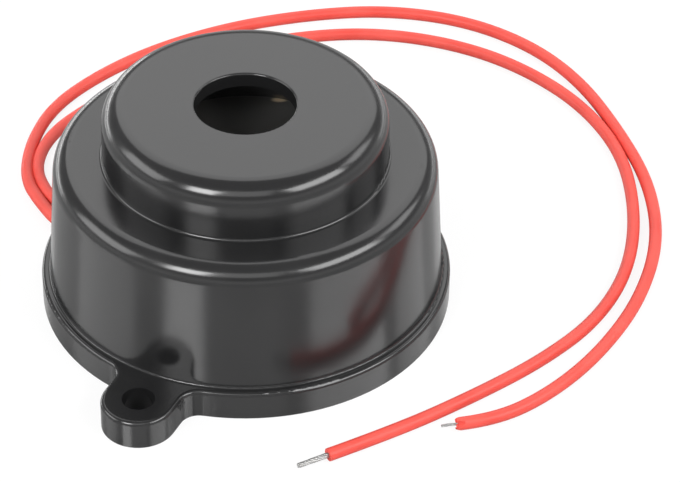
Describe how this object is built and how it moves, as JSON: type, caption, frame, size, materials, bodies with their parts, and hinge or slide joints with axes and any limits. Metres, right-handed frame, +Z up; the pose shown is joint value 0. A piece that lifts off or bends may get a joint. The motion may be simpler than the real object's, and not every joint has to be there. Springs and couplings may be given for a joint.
{
  "type": "piezo buzzer",
  "caption": "Round black moulded alarm buzzer with a raised cap, a large sound hole, two screw ears in line and two loose red leads lying on the surface.",
  "frame": {"origin": "middle of the case's flat underside, at the height of the surface it stands on", "axes": "+Z up out of the sound hole, +X through the two screw ears, +Y the side where the leads leave"},
  "size_m": [0.085, 0.0747, 0.0242],
  "materials": {
    "case": "glossy black moulded plastic",
    "resin": "poured black epoxy, satin",
    "board": "paper phenolic laminate",
    "brass": "rolled brass, satin",
    "ceramic": "fired ceramic",
    "silver": "printed silver",
    "silicone": "white silicone",
    "diode": "moulded epoxy",
    "tinned_wire": "tinned copper",
    "resistor": "lacquered",
    "ferrite": "sintered ferrite",
    "copper": "enamelled copper wire",
    "sleeve": "heat-shrink sleeve",
    "can": "sleeved can",
    "film_box": "moulded box",
    "transistor": "moulded epoxy",
    "solder": "solder",
    "hook_up_wire": "thin PVC insulation",
    "lead": "red PVC insulation"
  },
  "bodies": {
    "root": {"circuit_board": "board", "coil_core": "ferrite", "coil_sleeve": "sleeve", "coil_winding": "copper", "diaphragm_plate": "brass", "diode_1": "diode", "diode_2": "diode", "diode_3": "diode", "diode_4": "diode", "diode_wires": "tinned_wire", "drive_wire": "hook_up_wire", "electrolytic_capacitor": "can", "feedback_electrode": "silver", "feedback_wire": "hook_up_wire", "film_capacitor": "film_box", "ground_wire": "hook_up_wire", "housing": "case", "inner_lead": "lead", "inner_tip": "tinned_wire", "lead_tails": "tinned_wire", "main_electrode": "silver", "outer_lead": "lead", "outer_tip": "tinned_wire", "piezo_ceramic": "ceramic", "radial_legs": "tinned_wire", "resin_fill": "resin", "resistor_1": "resistor", "resistor_2": "resistor", "resistor_3": "resistor", "resistor_wires": "tinned_wire", "silicone_bead": "silicone", "solder_joints": "solder", "transistor": "transistor", "wire_solder": "solder"}
  },
  "joints": []
}
